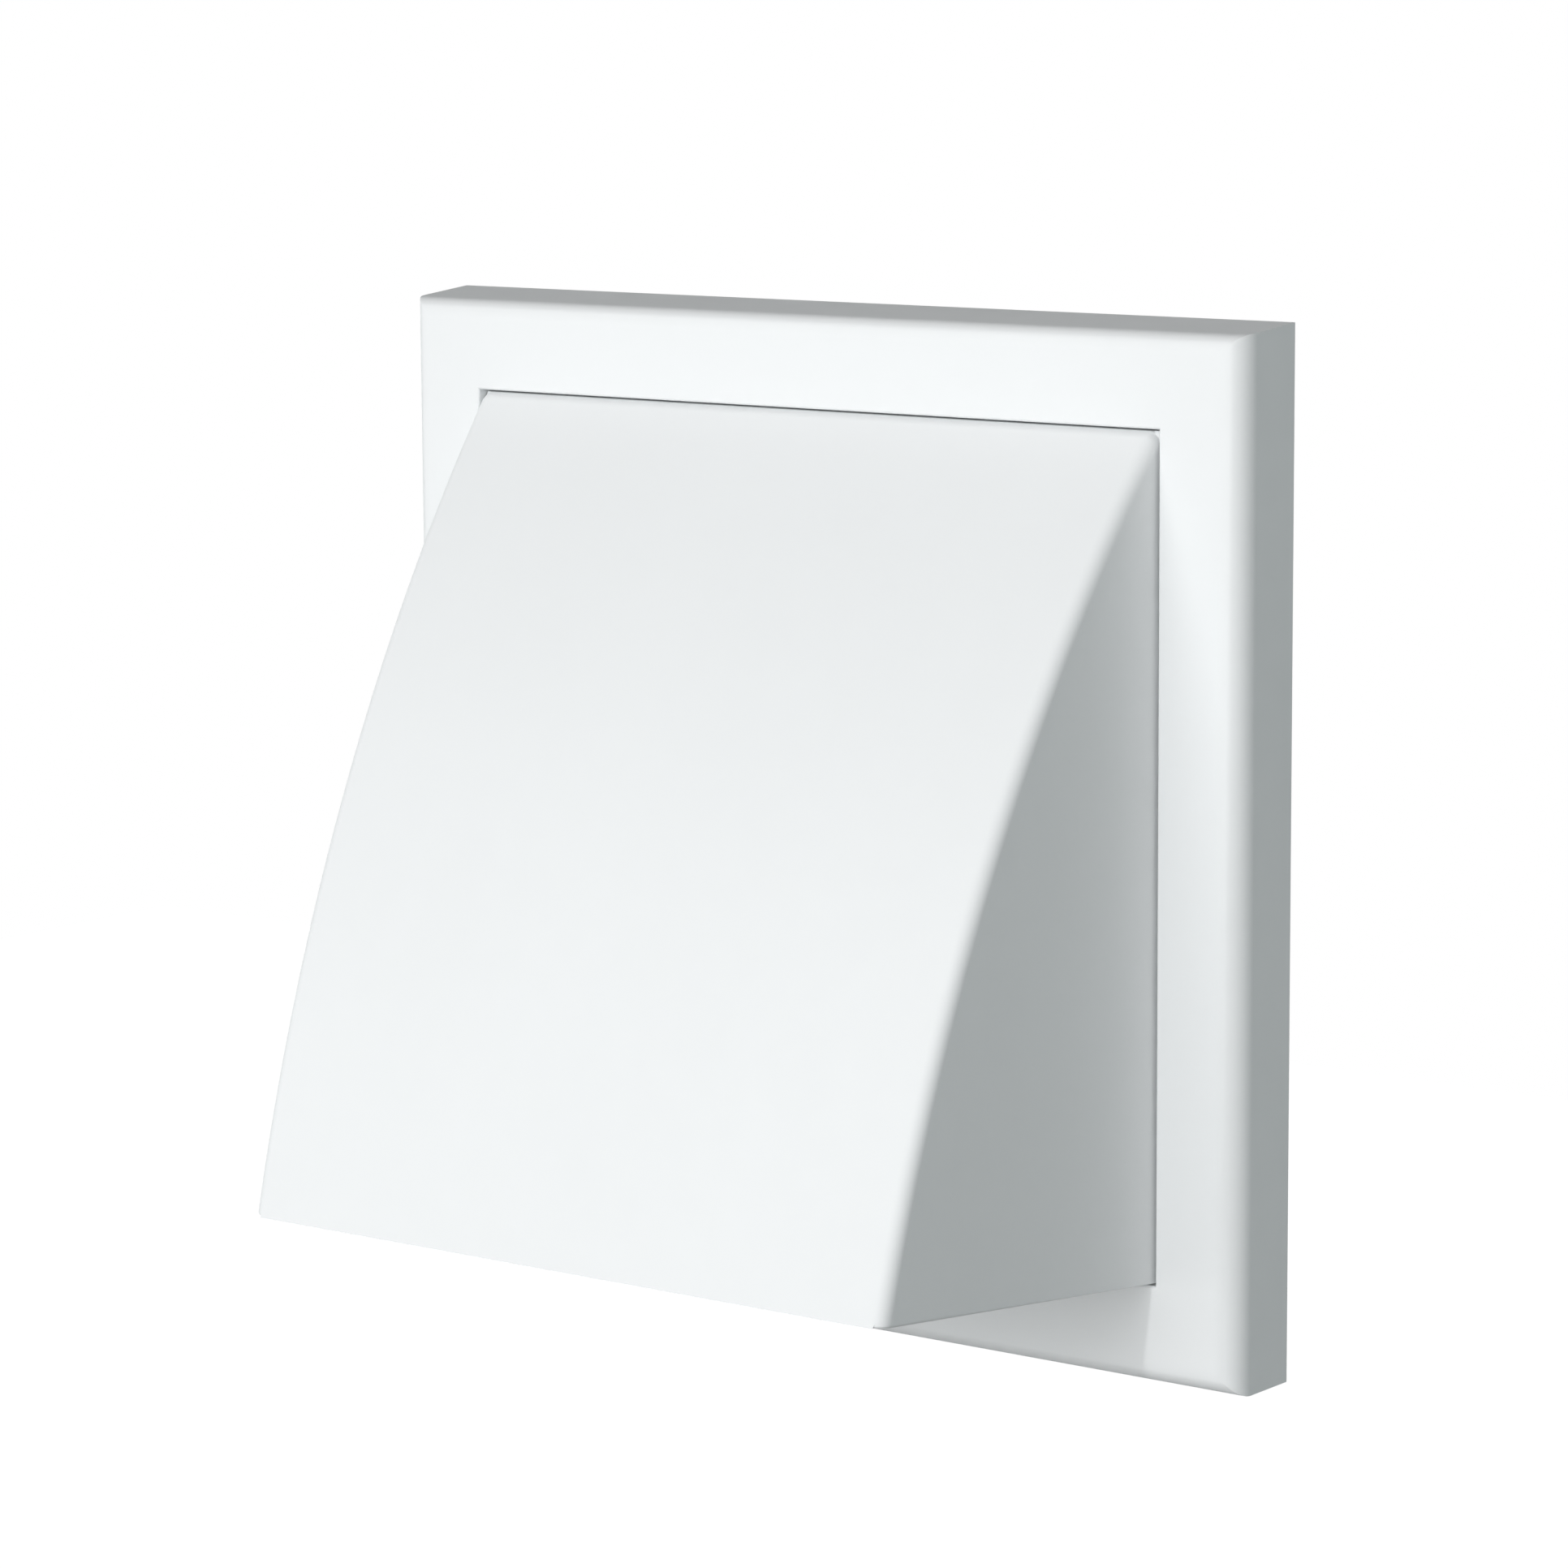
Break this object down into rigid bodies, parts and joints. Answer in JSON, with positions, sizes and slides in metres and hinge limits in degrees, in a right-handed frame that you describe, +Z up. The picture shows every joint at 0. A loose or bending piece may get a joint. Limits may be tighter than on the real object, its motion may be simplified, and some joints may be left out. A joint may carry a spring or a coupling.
{
  "type": "hooded wall vent",
  "caption": "Square wall vent with a bowed hood open at the bottom, a round duct spigot behind and a gravity flap that lets air out and closes against backdraught.",
  "frame": {"origin": "on the duct axis, in the plane of the wall that the frame's back lies on", "axes": "+X to the right seen from the front, +Y into the wall along the spigot, +Z up"},
  "size_m": [0.154, 0.114, 0.154],
  "materials": {
    "white_plastic": "moulded, satin",
    "flap_plastic": "moulded, matt"
  },
  "bodies": {
    "vent_body": {"wall_frame": "white_plastic", "hood": "white_plastic"},
    "flap": {"flap": "flap_plastic"}
  },
  "joints": [
    {"name": "flap_hinge", "type": "hinge", "parent": "vent_body", "child": "flap", "pos_m": [0, -0.005, 0.05425], "axis": [-1, 0, 0], "range_deg": [0, 32]}
  ]
}
